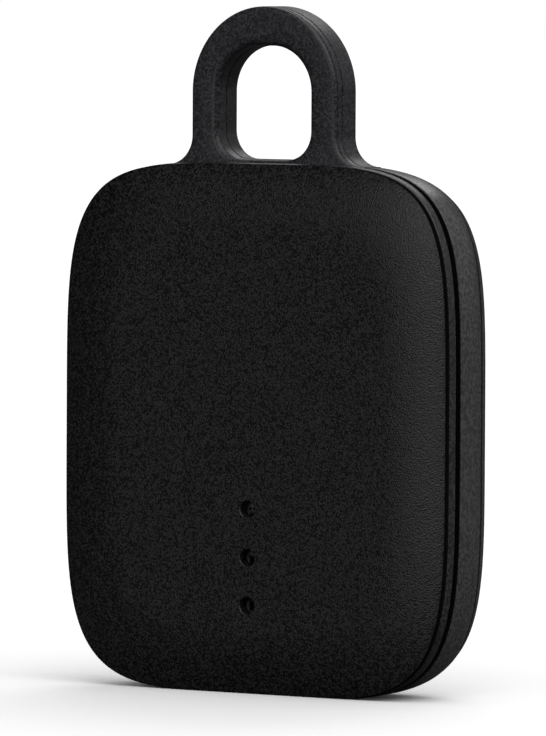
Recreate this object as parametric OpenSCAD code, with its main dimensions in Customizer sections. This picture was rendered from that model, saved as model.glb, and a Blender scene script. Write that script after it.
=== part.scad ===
// Key finder with a loop for a key ring.
// It stands on its flat bottom edge: X to the right, Y from the front cover to the rear shell, Z up.
// The origin is under the middle of the body. All sizes are in millimetres.

/* [Body] */
// Width of the body
body_w = 32.3; // [31.5:0.1:36]
// Height of the body without the loop
body_h = 38; // [37:0.5:42]
// How square the outline is: 0.5 is an ellipse, 1 a rectangle
outline_share = 0.785; // [0.76:0.005:0.84]
// How much the bottom edge is cut flat, so that the body stands
foot_cut = 0.14; // [0.06:0.02:0.2]
// Smallest gap between pieces that slide past each other
fit_gap = 0.1; // [0.06:0.01:0.14]

/* [Front cover] */
// How far the middle of the cover stands in front of its rim
crown_h = 0.7; // [0.5:0.05:1]
// How far the crown's rise reaches in from its rim
crown_w = 5; // [3:0.1:6]
// How gently the crown rises: 0.5 has a round edge, 1 has none
crown_power = 0.9; // [0.5:0.05:1]
// Thickness of the cover at its middle
cover_wall = 0.9; // [0.8:0.05:1]
// Gap between the cover's rim and the band
cover_gap = 0.3; // [0.27:0.01:0.4]
// Depth of the skirt that guides the cover in the band
skirt_d = 0.6; // [0.5:0.05:0.65]
// Thickness of the skirt
skirt_wall = 0.8; // [0.6:0.05:1]
// How far the cover travels when it is pressed
press_travel = 0.25; // [0.15:0.01:0.26]
// Radius of a sound hole
hole_r = 0.6; // [0.45:0.05:0.8]
// Distance between sound holes
hole_pitch = 3.45; // [2.8:0.05:4]
// Height of the middle sound hole
hole_z = 9.8; // [9.4:0.1:10.6]
// Length of a snap barb
barb_w = 3; // [2:0.1:4]
// Depth of a snap barb along the press direction
barb_d = 0.2; // [0.16:0.01:0.24]
// How far a snap barb stands out of the skirt
barb_h = 0.25; // [0.2:0.01:0.3]
// Radius of the boss that presses the switch
boss_r = 1.6; // [1.2:0.1:2.2]

/* [Mid frame] */
// Depth of the side band
band_d = 1.05; // [0.9:0.05:1.3]
// Thickness of the side band
band_wall = 1; // [0.9:0.05:1.2]
// Rounding of the band's front edge
band_round = 0.28; // [0.15:0.01:0.4]
// Width of the groove between the band and the rear shell
groove_w = 0.7; // [0.6:0.05:1]
// Thickness of the neck behind the band
neck_wall = 0.8; // [0.7:0.05:1]
// Width of the ledge that carries the board
ledge_w = 1.2; // [1:0.05:1.5]
// How far the ledge reaches forward into the band
ledge_lap = 0.35; // [0.3:0.01:0.38]
// Radius of a screw boss
post_r = 1.7; // [1.5:0.05:1.9]
// How far the screws stand in from the body's sides
screw_side = 4.95; // [4.8:0.05:5.4]
// How far the screws stand in from the body's bottom and top
screw_end = 5.65; // [5.5:0.05:6.1]

/* [Key loop] */
// Outer width of the loop
loop_w = 12.2; // [11.4:0.1:13]
// Width of the opening in the loop
opening_w = 7.76; // [7:0.02:8.2]
// Height of the loop's top above the body
loop_h = 11.1; // [10.6:0.1:12]
// Height of the opening
opening_h = 8.3; // [7.6:0.1:8.5]
// How far the opening starts above the body
opening_rise = 0.25; // [0.1:0.05:0.5]
// Thickness of the loop from front to back
loop_t = 2.95; // [2.6:0.05:3.1]
// How far the loop starts in front of the groove
loop_lap = 0.25; // [0.1:0.01:0.3]
// Rounding of the loop's outer edges
loop_round = 0.25; // [0.2:0.01:0.3]
// Rounding of the opening's edges
opening_round = 0.5; // [0.3:0.05:0.6]
// Radius of the flare where the loop meets the body
flare_r = 2.1; // [1.6:0.1:2.4]
// Radius of the opening's top corners
opening_top_r = 3.3; // [2.6:0.1:3.8]
// Radius of the opening's bottom corners
opening_r = 2.05; // [1.5:0.05:2.4]
// Depth of the fine lines round the loop
line_d = 0.1; // [0.06:0.01:0.14]
// Width of a fine line
line_w = 0.16; // [0.1:0.02:0.18]
// How far the first line sits behind the loop's front
line_lap = 0.35; // [0.33:0.01:0.5]
// Distance between the two lines round the loop
line_pitch = 0.65; // [0.4:0.05:0.8]
// How far the line in the opening sits behind the loop's front
inner_line_lap = 1.25; // [0.8:0.05:1.5]

/* [Rear shell] */
// Thickness of the shell's sides at their front edge
shell_wall = 1.1; // [1:0.05:1.2]
// Thickness of the shell's back
shell_back = 0.9; // [0.8:0.05:1]
// How far the shell's sides draw in towards the back
taper_w = 0.6; // [0.3:0.05:0.8]
// Depth of the rounding between the shell's sides and its back
roll_d = 1.8; // [1.4:0.1:2]
// How far that rounding reaches in over the back
roll_w = 8; // [6:0.5:9]
// Height of the shell's snap beads
bead_h = 0.08; // [0.05:0.01:0.09]
// Length of a snap bead
bead_w = 5; // [3:0.5:7]
// Width of the seal ring
seal_w = 0.6; // [0.5:0.02:0.7]
// Depth of the seal ring's seat in the neck
seal_d = 0.4; // [0.3:0.02:0.45]

/* [Coin cell] */
// Diameter of the coin cell
cell_dia = 20; // [19:0.1:20.4]
// Thickness of the coin cell
cell_t = 3.2; // [3:0.05:3.25]
// Thickness of the cell's steel sheet
cell_sheet = 0.25; // [0.2:0.01:0.3]
// How far the cell's cap stands in from its side
cap_inset = 1.2; // [1.1:0.05:1.7]
// Height of the cell's middle
cell_z = 17; // [16.6:0.1:17.4]
// Thickness of the foam pad behind the cell
pad_t = 0.25; // [0.2:0.01:0.35]
// Thickness of the cell tray's wall
tray_wall = 1; // [0.8:0.05:1.2]
// Height of the cell tray
tray_h = 2.7; // [2.4:0.05:2.9]
// Thickness of the contacts' sheet
contact_t = 0.15; // [0.12:0.01:0.18]
// Width of the positive contact
plus_w = 4; // [3:0.1:5]

/* [Board] */
// Thickness of the circuit board
board_t = 0.8; // [0.7:0.05:0.9]
// How far the board sits behind the front edge of the rear shell
board_lap = 0.4; // [0.3:0.05:0.8]
// Room between the board and the cell
contact_room = 0.4; // [0.36:0.01:0.46]
// Radius of a screw's shank
screw_r = 0.65; // [0.55:0.01:0.7]
// Radius of a screw's head
screw_head_r = 1.2; // [1.1:0.05:1.4]
// Height of a screw's head
screw_head_h = 0.5; // [0.4:0.02:0.6]
// Height of the push switch's middle
switch_z = 21; // [20.4:0.1:22]
// Side of the push switch
switch_w = 4.6; // [4:0.1:5]
// Height of the push switch's body
switch_h = 1.3; // [1.2:0.02:1.36]
// Radius of the push switch's plunger
plunger_r = 1; // [0.8:0.05:1.2]
// How far the plunger stands out of the switch
plunger_h = 0.4; // [0.36:0.01:0.42]
// Side of the radio chip
chip_w = 5; // [4:0.1:6]
// Height of the radio chip
chip_h = 0.85; // [0.7:0.05:1]
// Length of the chip antenna
antenna_w = 6.5; // [5:0.1:7]
// Side of the drive inductor
coil_w = 4; // [3.4:0.1:4.4]
// Height of the drive inductor
coil_h = 1.5; // [1.2:0.05:1.6]

/* [Sounder] */
// Diameter of the sounder's brass disc
disc_dia = 13; // [12.4:0.1:13.4]
// Thickness of the brass disc
disc_t = 0.2; // [0.15:0.01:0.25]
// Width of the brass left bare round the ceramic layer
bare_w = 2.3; // [2.2:0.05:2.7]
// Radius of a spring pin between the sounder and the board
pin_r = 0.4; // [0.3:0.02:0.45]
// Width of the seat round the disc
seat_w = 1.4; // [1.2:0.05:1.6]
// Free space in front of the disc
sound_gap = 0.25; // [0.2:0.01:0.3]
// Thickness of the gauze behind the holes
mesh_t = 0.1; // [0.08:0.01:0.12]

/* [Hidden] */

// Faces of curves
outline_steps = 96;
arch_steps = 20;
corner_steps = 6;
round_steps = 48;

// Overrun of every cut
over = 0.5;

// Outline of the body
half_w = body_w / 2;
half_h = (body_h + foot_cut) / 2;
mid_z = body_h - half_h;
outline_power = 2 * (1 - outline_share);

// Stack of the shells from front to back; the rear shell is as deep as what it holds
shell_d = board_lap + board_t + contact_room + cell_t + pad_t + shell_back;
front_y = -(crown_h + cover_gap + band_d + groove_w + shell_d) / 2;
rim_y = front_y + crown_h;
band_y = rim_y + cover_gap;
groove_y = band_y + band_d;
shell_y = groove_y + groove_w;
back_y = shell_y + shell_d;

// Stack inside, from the rear shell forward
shell_in_y = back_y - shell_back;
cell_back_y = shell_in_y - pad_t;
cell_y = cell_back_y - cell_t;
board_back_y = cell_y - contact_room;
board_y = board_back_y - board_t;
cover_in_y = front_y + cover_wall;
ledge_y = groove_y - ledge_lap;

// Insets from the body's outline
cover_inset = foot_cut / 2;
skirt_inset = band_wall + fit_gap;
pocket_inset = skirt_inset + skirt_wall;
neck_inset = shell_wall + fit_gap;
neck_in_inset = neck_inset + neck_wall;
board_inset = neck_in_inset + 1.5 * fit_gap;
ledge_in_inset = neck_in_inset + ledge_w;

// How gently the shell's back rises outside and inside: 0.5 is an ellipse, and less is squarer
roll_power = 0.5;
cavity_power = 0.35;
// How late the shell's sides draw in: 1 is a straight draft, and more leaves a longer flat foot
taper_power = 3;

// Shares of the way in at which a domed face and a drawn-in side have a ring of points
dome_shares = [0.006, 0.02, 0.05, 0.1, 0.18, 0.3, 0.47, 0.7, 1];
cavity_shares = [0.04, 0.16, 0.4, 1];
taper_shares = [0, 0.4, 0.6, 0.75, 0.88, 1];

// Loop
loop_r = loop_w / 2;
open_r = opening_w / 2;
loop_y = groove_y - loop_lap;
loop_back_y = loop_y + loop_t;
arch_z = body_h + loop_h - loop_r;
open_z = body_h + opening_rise;
open_top_z = open_z + opening_h;
flare_x = loop_r + flare_r;
flare_z = mid_z + half_h * pow(1 - pow(flare_x / half_w, 2 / outline_power), outline_power / 2);
saddle_z = body_h - neck_inset - neck_wall / 2;
loop_lines = [loop_y + line_lap, loop_y + line_lap + line_pitch];
opening_lines = [loop_y + inner_line_lap];

// Seal and neck
notch_y = loop_back_y + 1.5 * fit_gap;
seal_y = notch_y + fit_gap;
neck_back_y = seal_y + seal_w + neck_wall / 2;
seal_lift = shell_wall + fit_gap / 5;
roll_y = neck_back_y + fit_gap;
cavity_d = shell_in_y - roll_y;

// Snap barbs and beads
barb_y = rim_y + skirt_d - barb_d;
barb_z_share = 0.42;
bead_y = shell_y + fit_gap;
bead_d = 2 * fit_gap;
bead_z_share = 0.36;

// Switch
plate_t = fit_gap;
plunger_y = board_y - switch_h - plate_t - plunger_h;
plunger_d = plunger_h + plate_t + switch_h / 3;
boss_gap = fit_gap / 5;

// Sounder
sounder_y = cover_in_y + mesh_t + press_travel + sound_gap;
disc_back_y = sounder_y + disc_t;
disc_r = disc_dia / 2;
ceramic_r = disc_r - bare_w;
ceramic_t = 0.75 * disc_t;
tape_t = disc_t / 2;
seat_y = disc_back_y + tape_t;
seat_d = 4.5 * disc_t;
seat_r = disc_r + seat_w / 2;
seat_in_r = seat_r - seat_w;
rib_w = 1.2 * seat_w;
mesh_w = 4 * hole_r;
mesh_h = 2 * hole_pitch + mesh_w;

// Coin cell
cell_r = cell_dia / 2;
cap_r = cell_r - cap_inset;
can_y = cell_y + 1.6 * cell_sheet;
gasket_r = cell_r - cell_sheet;
fill_r = cap_r - 2 * cell_sheet;
anode_back_y = cell_y + 0.3 * cell_t;
cell_gap = 1.5 * fit_gap;
pad_r = 0.8 * cap_r;
cavity_w = half_w - shell_wall - pad_r - fit_gap;
tray_r = cell_r + cell_gap;
tray_out_r = tray_r + tray_wall;
film_t = 0.6 * contact_t;
film_r = cap_r;
tray_floor = 1.5 * contact_t;
star_r = 0.4 * cap_r;
star_arm_w = 0.2 * cap_r;

// Places on the board's front face, as shares of its half width and half height from its middle
board_half_w = half_w - board_inset;
board_half_h = half_h - board_inset;
chip_shares = [-0.55, 0.26];
main_crystal_shares = [-0.55, 0.53];
clock_crystal_shares = [-0.26, 0.53];
coil_shares = [0.62, 0.11];
transistor_shares = [0.62, 0.39];
antenna_shares = [0.22, 0.82];
// The last number says whether the piece stands upright
small_shares = [[-0.86, 0.1, 1], [-0.86, 0.2, 1], [-0.86, 0.3, 1], [-0.28, 0.28, 0], [-0.28, 0.38, 0],
    [-0.62, 0.66, 1], [-0.5, 0.66, 1], [-0.38, 0.66, 1], [-0.1, 0.6, 0], [0.02, 0.6, 0],
    [0.28, 0.28, 0], [0.28, 0.36, 0], [0.42, 0.46, 1], [0.78, 0.5, 1], [0.86, 0.5, 1], [0.35, 0.6, 0]];
small_w = 1;

// A power of a sine or cosine that keeps its sign
function keep_sign(v, e) = sign(v) * pow(abs(v), e);

// The body's rounded outline in the XZ plane, drawn in by inset
function outline(inset) = [for (i = [0:outline_steps - 1])
    let (a = 360 * i / outline_steps)
    [(half_w - inset) * keep_sign(cos(a), outline_power),
        max(0, mid_z + (half_h - inset) * keep_sign(sin(a), outline_power))]];

// A flat outline placed at a depth
function ring(y, points) = [for (p = points) [p[0], y, p[1]]];

// Rings of a dome: it rises from y_rim by depth while its outline draws in from inset by w
function dome_rings(inset, y_rim, depth, w, power, shares) = [for (s = shares)
    ring(y_rim + depth * pow(1 - pow(1 - s, 2), power), outline(inset + w * s))];

// Rings of the shell's sides, which curve inwards ever more towards the back
function taper_rings() = [for (s = taper_shares)
    ring(shell_y + (shell_d - roll_d) * s, outline(taper_w * pow(s, taper_power)))];

function reversed(list) = [for (i = [len(list) - 1:-1:0]) list[i]];

// Arc in the XZ plane
function arc(x, z, r, a0, a1, steps) = [for (i = [0:steps])
    let (a = a0 + (a1 - a0) * i / steps) [x + r * cos(a), z + r * sin(a)]];

// Outline of the loop and its saddle, drawn in by inset above the body
function loop_outline(inset) = concat(
    [[flare_x, saddle_z]],
    reversed(arc(flare_x, flare_z + flare_r, flare_r + inset, 180, 270, corner_steps)),
    arc(0, arch_z, loop_r - inset, 0, 180, arch_steps),
    reversed(arc(-flare_x, flare_z + flare_r, flare_r + inset, -90, 0, corner_steps)),
    [[-flare_x, saddle_z]]);

// Outline of the loop's opening, widened by outset
function opening_outline(outset) =
    let (r = opening_top_r, x = open_r - r, low_x = open_r - opening_r, low_z = open_z + opening_r)
    concat(
        arc(x, open_top_z - r, r + outset, 0, 90, arch_steps / 2),
        arc(-x, open_top_z - r, r + outset, 90, 180, arch_steps / 2),
        arc(-low_x, low_z, opening_r + outset, 180, 270, corner_steps),
        arc(low_x, low_z, opening_r + outset, 270, 360, corner_steps));

// Depths and insets of the loop's bar, with edges rounded by r and fine lines cut into its side
function bar_steps(r, lines) = concat(
    [for (a = [0, 30, 60, 90]) [loop_y + r * (1 - cos(a)), r * (1 - sin(a))]],
    [for (y = lines) each [[y - line_w / 2, 0], [y, line_d], [y + line_w / 2, 0]]],
    [for (a = [90, 60, 30, 0]) [loop_back_y - r * (1 - cos(a)), r * (1 - sin(a))]]);

// Faces that close a ring of n points whose first and last point mirror each other, and so on to the middle
function mirror_cap(n) = [for (i = [0:floor(n / 2) - 1])
    i + 1 == n - 2 - i ? [i, i + 1, n - 1 - i] : [i, i + 1, n - 2 - i, n - 1 - i]];

// The same for a ring that bulges outwards all round
function fan_cap(n) = [[for (i = [0:n - 1]) i]];

// Solid through rings that all have the same number of points, from front to back
module loft(rings, cap) {
    n = len(rings[0]);
    m = len(rings);
    polyhedron(
        points = [for (r = rings, p = r) p],
        faces = concat(
            [for (f = cap) reversed(f)],
            [for (a = [0:n:n * (m - 2)], i = [0:n - 1]) let (k = (i + 1) % n) [a + i, a + k, a + n + k]],
            [for (a = [0:n:n * (m - 2)], i = [0:n - 1]) let (k = (i + 1) % n) [a + i, a + n + k, a + n + i]],
            [for (f = cap) [for (i = f) (m - 1) * n + i]]));
}

// Straight slab between two depths, with a flat outline
module slab(y0, y1, points) {
    translate([0, y1, 0]) rotate([90, 0, 0]) linear_extrude(y1 - y0) polygon(points);
}

// Round bar along Y
module rod(x, z, y0, y1, r) {
    translate([x, y1, z]) rotate([90, 0, 0]) cylinder(h = y1 - y0, r = r, $fn = round_steps);
}

// Round tube along Y
module tube(x, z, y0, y1, r, r_in) {
    difference() {
        rod(x, z, y0, y1, r);
        rod(x, z, y0 - over, y1 + over, r_in);
    }
}

// Upright block between two depths, centred on x and z
module block(x, z, w, h, y0, y1) {
    translate([x - w / 2, y0, z - h / 2]) cube([w, y1 - y0, h]);
}

// A hollow wall that follows the body's outline
module wall_ring(y0, y1, inset, inset_in) {
    difference() {
        slab(y0, y1, outline(inset));
        slab(y0 - over, y1 + over, outline(inset_in));
    }
}

// Children placed at the four screws
module at_screws() {
    for (sx = [-1, 1], sz = [-1, 1])
        translate([sx * (half_w - screw_side), 0, mid_z + sz * (half_h - screw_end)]) children();
}

// Barbs on both sides of the skirt, or the pockets for them when slack is more than zero
module barbs(y0, y1, slack) {
    reach = barb_h + slack;
    for (sx = [-1, 1], sz = [-1, 1]) {
        x = sx * (half_w - skirt_inset + (reach - skirt_wall / 2) / 2);
        block(x, mid_z + sz * barb_z_share * half_h, reach + skirt_wall / 2, barb_w + 2 * slack, y0, y1);
    }
}

module front_cover() {
    color([0.13, 0.13, 0.135]) difference() {
        union() {
            difference() {
                loft(concat(
                    reversed(dome_rings(cover_inset, rim_y, -crown_h, crown_w, crown_power, dome_shares)),
                    [ring(rim_y, outline(cover_inset)), ring(rim_y, outline(skirt_inset)),
                        ring(rim_y + skirt_d, outline(skirt_inset))]), fan_cap(outline_steps));
                slab(cover_in_y, rim_y + skirt_d + over, outline(pocket_inset));
            }
            barbs(barb_y, barb_y + barb_d, 0);
            rod(0, switch_z, cover_in_y - cover_wall / 2, plunger_y - boss_gap, boss_r);
        }
        for (i = [-1:1]) rod(0, hole_z + i * hole_pitch, front_y - over, cover_in_y + over, hole_r);
    }
}

module sound_mesh() {
    color([0.3, 0.3, 0.31]) difference() {
        block(0, hole_z, mesh_w, mesh_h, cover_in_y, cover_in_y + mesh_t);
        for (i = [-1:1], j = [-1:1]) rod(j * hole_r / 2, hole_z + i * hole_pitch, cover_in_y - over,
            cover_in_y + mesh_t + over, hole_r / 6);
    }
}

module key_loop() {
    outside = bar_steps(loop_round, loop_lines);
    inside = bar_steps(opening_round, opening_lines);
    difference() {
        loft([for (s = outside) ring(s[0], loop_outline(s[1]))], mirror_cap(len(loop_outline(0))));
        loft(concat(
            [ring(loop_y - over, opening_outline(opening_round))],
            [for (s = inside) ring(s[0], opening_outline(s[1]))],
            [ring(loop_back_y + over, opening_outline(opening_round))]), fan_cap(len(opening_outline(0))));
    }
}

module side_band() {
    difference() {
        loft([ring(band_y, outline(band_round)), ring(band_y + band_round / 3, outline(band_round / 3)),
            ring(band_y + band_round, outline(0)), ring(groove_y, outline(0))], fan_cap(outline_steps));
        slab(band_y - over, groove_y + over, outline(band_wall));
        barbs(barb_y - fit_gap / 5, ledge_y, fit_gap / 2);
    }
}

// The ring that carries the sounder, with a rim round the disc and ribs to the ledge
module sounder_seat() {
    tube(0, hole_z, seat_y, seat_y + seat_d, seat_r, seat_in_r);
    tube(0, hole_z, sounder_y, seat_y + seat_d, seat_r, disc_r + fit_gap);
    for (sx = [-1, 1]) {
        reach = half_w - ledge_in_inset + ledge_w / 2 - (seat_r - seat_w / 2);
        block(sx * (seat_r - seat_w / 2 + reach / 2), hole_z, reach, rib_w, seat_y, seat_y + seat_d);
    }
    block(0, (hole_z - seat_r) / 2 + ledge_in_inset / 2, 2 * rib_w, hole_z - seat_r - ledge_in_inset + seat_w,
        seat_y, seat_y + seat_d);
}

module mid_frame() {
    color([0.17, 0.17, 0.18]) difference() {
        union() {
            side_band();
            wall_ring(ledge_y, groove_y, band_wall / 2, ledge_in_inset);
            wall_ring(groove_y, board_y, neck_inset, ledge_in_inset);
            wall_ring(board_y, neck_back_y, neck_inset, neck_in_inset);
            at_screws() rod(0, 0, ledge_y, board_y, post_r);
            sounder_seat();
            key_loop();
        }
        at_screws() rod(0, 0, ledge_y + ledge_lap, board_y + over, screw_r + fit_gap / 5);
        wall_ring(seal_y, seal_y + seal_w, neck_inset - over, neck_inset + seal_d);
        rod(0, hole_z, sounder_y - over, seat_y, disc_r + fit_gap);
        snap_slots();
    }
}

// Shallow slots in the neck for the rear shell's beads
module snap_slots() {
    for (sx = [-1, 1], sz = [-1, 1])
        block(sx * (half_w - neck_inset), mid_z + sz * bead_z_share * half_h, 2 * bead_h, bead_w + fit_gap,
            bead_y - fit_gap / 2, bead_y + bead_d + fit_gap / 2);
}

module seal_ring() {
    soft = seal_w / 4;
    color([0.08, 0.08, 0.085]) difference() {
        loft([ring(seal_y + fit_gap / 5, outline(seal_lift + soft)), ring(seal_y + soft, outline(seal_lift)),
            ring(seal_y + seal_w - soft, outline(seal_lift)),
            ring(seal_y + seal_w - fit_gap / 5, outline(seal_lift + soft))], fan_cap(outline_steps));
        slab(seal_y - over, seal_y + seal_w + over, outline(neck_inset + seal_d - fit_gap / 5));
    }
}

module rear_shell() {
    notch_w = 2 * (flare_x + fit_gap);
    notch_h = 3 * neck_inset;
    color([0.2, 0.2, 0.205]) {
        difference() {
            loft(concat(
                taper_rings(),
                dome_rings(taper_w, back_y - roll_d, roll_d, roll_w, roll_power, dome_shares)),
                fan_cap(outline_steps));
            loft(concat(
                [ring(shell_y - over, outline(shell_wall)), ring(roll_y, outline(shell_wall))],
                dome_rings(shell_wall, roll_y, cavity_d, cavity_w, cavity_power, cavity_shares)),
                fan_cap(outline_steps));
            block(0, body_h, notch_w, notch_h, shell_y - over, notch_y);
        }
        for (sx = [-1, 1], sz = [-1, 1])
            block(sx * (half_w - shell_wall - bead_h / 2 + fit_gap / 2), mid_z + sz * bead_z_share * half_h,
                bead_h + fit_gap, bead_w, bead_y, bead_y + bead_d);
    }
}

module cell_pad() {
    color([0.1, 0.1, 0.1]) rod(0, cell_z, cell_back_y, shell_in_y, pad_r);
}

module cell_can() {
    color([0.78, 0.78, 0.8]) {
        tube(0, cell_z, can_y, cell_back_y - cell_sheet, cell_r, gasket_r);
        rod(0, cell_z, cell_back_y - cell_sheet, cell_back_y, cell_r);
        tube(0, cell_z, can_y - cell_sheet, can_y, cell_r, cap_r + cell_sheet);
    }
}

module cell_gasket() {
    color([0.15, 0.15, 0.17]) tube(0, cell_z, can_y, cell_back_y - 2 * cell_sheet, gasket_r, cap_r);
}

module cell_cap() {
    color([0.74, 0.74, 0.76]) {
        rod(0, cell_z, cell_y, cell_y + cell_sheet, cap_r);
        tube(0, cell_z, cell_y + cell_sheet, cell_back_y - 3 * cell_sheet, cap_r, cap_r - cell_sheet);
    }
}

module cell_anode() {
    color([0.6, 0.6, 0.62]) rod(0, cell_z, cell_y + cell_sheet, anode_back_y, fill_r);
}

module cell_cathode() {
    color([0.12, 0.12, 0.12]) rod(0, cell_z, anode_back_y, cell_back_y - cell_sheet, fill_r);
}

module cell_tray() {
    y0 = board_back_y;
    y1 = y0 + tray_h;
    notch_w = plus_w + 4 * fit_gap;
    color([0.09, 0.09, 0.1]) difference() {
        union() {
            tube(0, cell_z, y0, y1, tray_out_r, tray_r);
            tube(0, cell_z, y0, y0 + tray_floor, tray_out_r, cap_r + fit_gap);
        }
        block(0, cell_z + tray_r + tray_wall / 2, notch_w, 3 * tray_wall, y0 - over, y1 + over);
        for (sx = [-1, 1]) block(sx * tray_r, cell_z, 4 * tray_wall, cell_r / 2, y0 + tray_h / 2, y1 + over);
    }
}

module positive_contact() {
    leg_z = cell_z + cell_r + fit_gap / 5;
    foot = tray_wall + 4 * contact_t;
    top_y = board_back_y + tray_h * 0.9;
    color([0.8, 0.76, 0.62]) {
        block(0, leg_z + foot / 2, plus_w, foot, board_back_y, board_back_y + contact_t);
        block(0, leg_z + foot - contact_t / 2, plus_w, contact_t, board_back_y, top_y);
        block(0, leg_z + foot / 2, plus_w / 2, foot, top_y - contact_t, top_y);
    }
}

module negative_contact() {
    y0 = board_back_y + film_t;
    y1 = cell_y - fit_gap / 5;
    color([0.8, 0.76, 0.62]) {
        rod(0, cell_z, y0, y0 + contact_t, star_r);
        for (a = [0, 120, 240]) translate([0, 0, cell_z]) rotate([0, a, 0]) {
            block(0, star_r, star_arm_w, star_r, y0, y0 + contact_t);
            block(0, 1.5 * star_r, star_arm_w, contact_t, y0, y1);
            block(0, 1.7 * star_r, star_arm_w, 0.4 * star_r, y1 - contact_t, y1);
        }
    }
}

module insulating_film() {
    color([0.75, 0.5, 0.15]) rod(0, cell_z, board_back_y, board_back_y + film_t, film_r);
}

module circuit_board() {
    color([0.05, 0.2, 0.12]) difference() {
        slab(board_y, board_back_y, outline(board_inset));
        at_screws() rod(0, 0, board_y - over, board_back_y + over, screw_r + fit_gap);
    }
}

module board_screws() {
    slot_w = screw_r / 2;
    y1 = board_back_y + screw_head_h;
    color([0.7, 0.7, 0.72]) at_screws() difference() {
        union() {
            rod(0, 0, ledge_y + ledge_lap + fit_gap, board_back_y, screw_r);
            rod(0, 0, board_back_y, y1, screw_head_r);
        }
        for (a = [0, 90]) rotate([0, a, 0])
            block(0, 0, 1.3 * screw_head_r, slot_w, y1 - screw_head_h / 2, y1 + over);
    }
}

// Children placed on the board by shares of its half width and half height
module on_board(shares) {
    translate([shares[0] * board_half_w, board_y, mid_z + shares[1] * board_half_h]) children();
}

module radio_chip() {
    mark_r = chip_w / 20;
    color([0.06, 0.06, 0.065]) on_board(chip_shares) difference() {
        block(0, 0, chip_w, chip_w, -chip_h, 0);
        rod(-0.36 * chip_w, 0.36 * chip_w, -chip_h - over, -0.9 * chip_h, mark_r);
    }
}

// A metal can on the board: a base and a lid with a narrower edge
module crystal_can(w, h, d) {
    block(0, 0, w, h, -0.85 * d, 0);
    block(0, 0, w - 2 * fit_gap, h - 2 * fit_gap, -d, -0.85 * d);
}

module main_crystal() {
    color([0.75, 0.75, 0.76]) on_board(main_crystal_shares)
        crystal_can(chip_w / 2, 0.4 * chip_w, 0.7 * chip_h);
}

module clock_crystal() {
    color([0.75, 0.75, 0.76]) on_board(clock_crystal_shares)
        crystal_can(0.3 * chip_w, 0.64 * chip_w, 0.9 * chip_h);
}

// A ceramic bar with a plated cap at each end
module chip_antenna() {
    h = 0.32 * antenna_w;
    on_board(antenna_shares) {
        color([0.85, 0.85, 0.82]) block(0, 0, 0.84 * antenna_w, h, -chip_h, 0);
        color([0.75, 0.75, 0.76]) for (sx = [-1, 1]) block(sx * 0.46 * antenna_w, 0, h / 4, h, -chip_h, 0);
    }
}

module drive_inductor() {
    color([0.12, 0.12, 0.13]) on_board(coil_shares) {
        block(0, 0, coil_w, coil_w, -coil_h / 4, 0);
        rod(0, 0, -0.8 * coil_h, -coil_h / 4, 0.36 * coil_w);
        rod(0, 0, -coil_h, -0.8 * coil_h, coil_w / 2);
    }
}

module drive_transistor() {
    w = 0.72 * coil_w;
    lead_shares = [[-0.33, -0.33], [0.33, -0.33], [0, 0.33]];
    on_board(transistor_shares) {
        color([0.07, 0.07, 0.075]) block(0, 0, w, 0.45 * w, -coil_h / 2, -coil_h / 15);
        color([0.8, 0.8, 0.82]) for (s = lead_shares)
            block(s[0] * w, s[1] * w, 0.15 * w, 0.3 * w, -coil_h / 10, 0);
    }
}

module small_components() {
    color([0.55, 0.45, 0.35]) for (s = small_shares) on_board(s) rotate([0, 90 * s[2], 0])
        block(0, 0, small_w, small_w / 2, -small_w / 2, 0);
}

module switch_body() {
    color([0.08, 0.08, 0.085]) difference() {
        block(0, switch_z, switch_w, switch_w, board_y - switch_h, board_y);
        rod(0, switch_z, board_y - switch_h - over, board_y - switch_h / 4, plunger_r + fit_gap);
    }
}

module switch_plate() {
    y1 = board_y - switch_h;
    color([0.8, 0.8, 0.82]) difference() {
        block(0, switch_z, switch_w, switch_w, y1 - plate_t, y1);
        rod(0, switch_z, y1 - plate_t - over, y1 + over, plunger_r + fit_gap / 2);
    }
}

// The snap dome that the plunger presses; it stands on the floor of the switch's bore
module switch_dome() {
    r = plunger_r + fit_gap / 2;
    rise = 2 * plate_t;
    y1 = board_y - switch_h / 4;
    color([0.8, 0.8, 0.82]) translate([0, y1, switch_z]) rotate([90, 0, 0]) difference() {
        cylinder(h = rise, r1 = r, r2 = r / 3, $fn = round_steps);
        translate([0, 0, -plate_t / 2]) cylinder(h = rise, r1 = r, r2 = r / 3, $fn = round_steps);
    }
}

module switch_plunger() {
    color([0.85, 0.85, 0.85]) rod(0, switch_z, plunger_y, plunger_y + plunger_d, plunger_r);
}

module sounder_disc() {
    color([0.8, 0.65, 0.3]) rod(0, hole_z, sounder_y, disc_back_y, disc_r);
}

module sounder_ceramic() {
    color([0.85, 0.82, 0.75]) rod(0, hole_z, disc_back_y, disc_back_y + ceramic_t, ceramic_r);
}

module sounder_tape() {
    color([0.2, 0.2, 0.2]) tube(0, hole_z, disc_back_y, seat_y, disc_r, seat_in_r);
}

module sounder_contacts() {
    reach = (ceramic_r + seat_in_r) / 2;
    color([0.85, 0.7, 0.35]) for (s = [[0, disc_back_y + ceramic_t], [reach, disc_back_y]]) {
        rod(s[0], hole_z, s[1], board_y, pin_r);
        rod(s[0], hole_z, board_y - seat_d / 3, board_y, 1.6 * pin_r);
    }
}

front_cover();
sound_mesh();
mid_frame();
seal_ring();
rear_shell();
cell_pad();
cell_can();
cell_gasket();
cell_cap();
cell_cathode();
cell_anode();
cell_tray();
positive_contact();
negative_contact();
insulating_film();
circuit_board();
board_screws();
radio_chip();
main_crystal();
clock_crystal();
chip_antenna();
drive_inductor();
drive_transistor();
small_components();
switch_body();
switch_plate();
switch_dome();
switch_plunger();
sounder_disc();
sounder_ceramic();
sounder_tape();
sounder_contacts();
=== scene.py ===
"""Key finder with a loop for a key ring, in black plastic, standing on a pale floor.

X runs to the right, Y from the front cover to the rear shell and Z up. Sizes are in millimetres
up to the point where a mesh is made, and meshes are in metres.
"""

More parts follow.
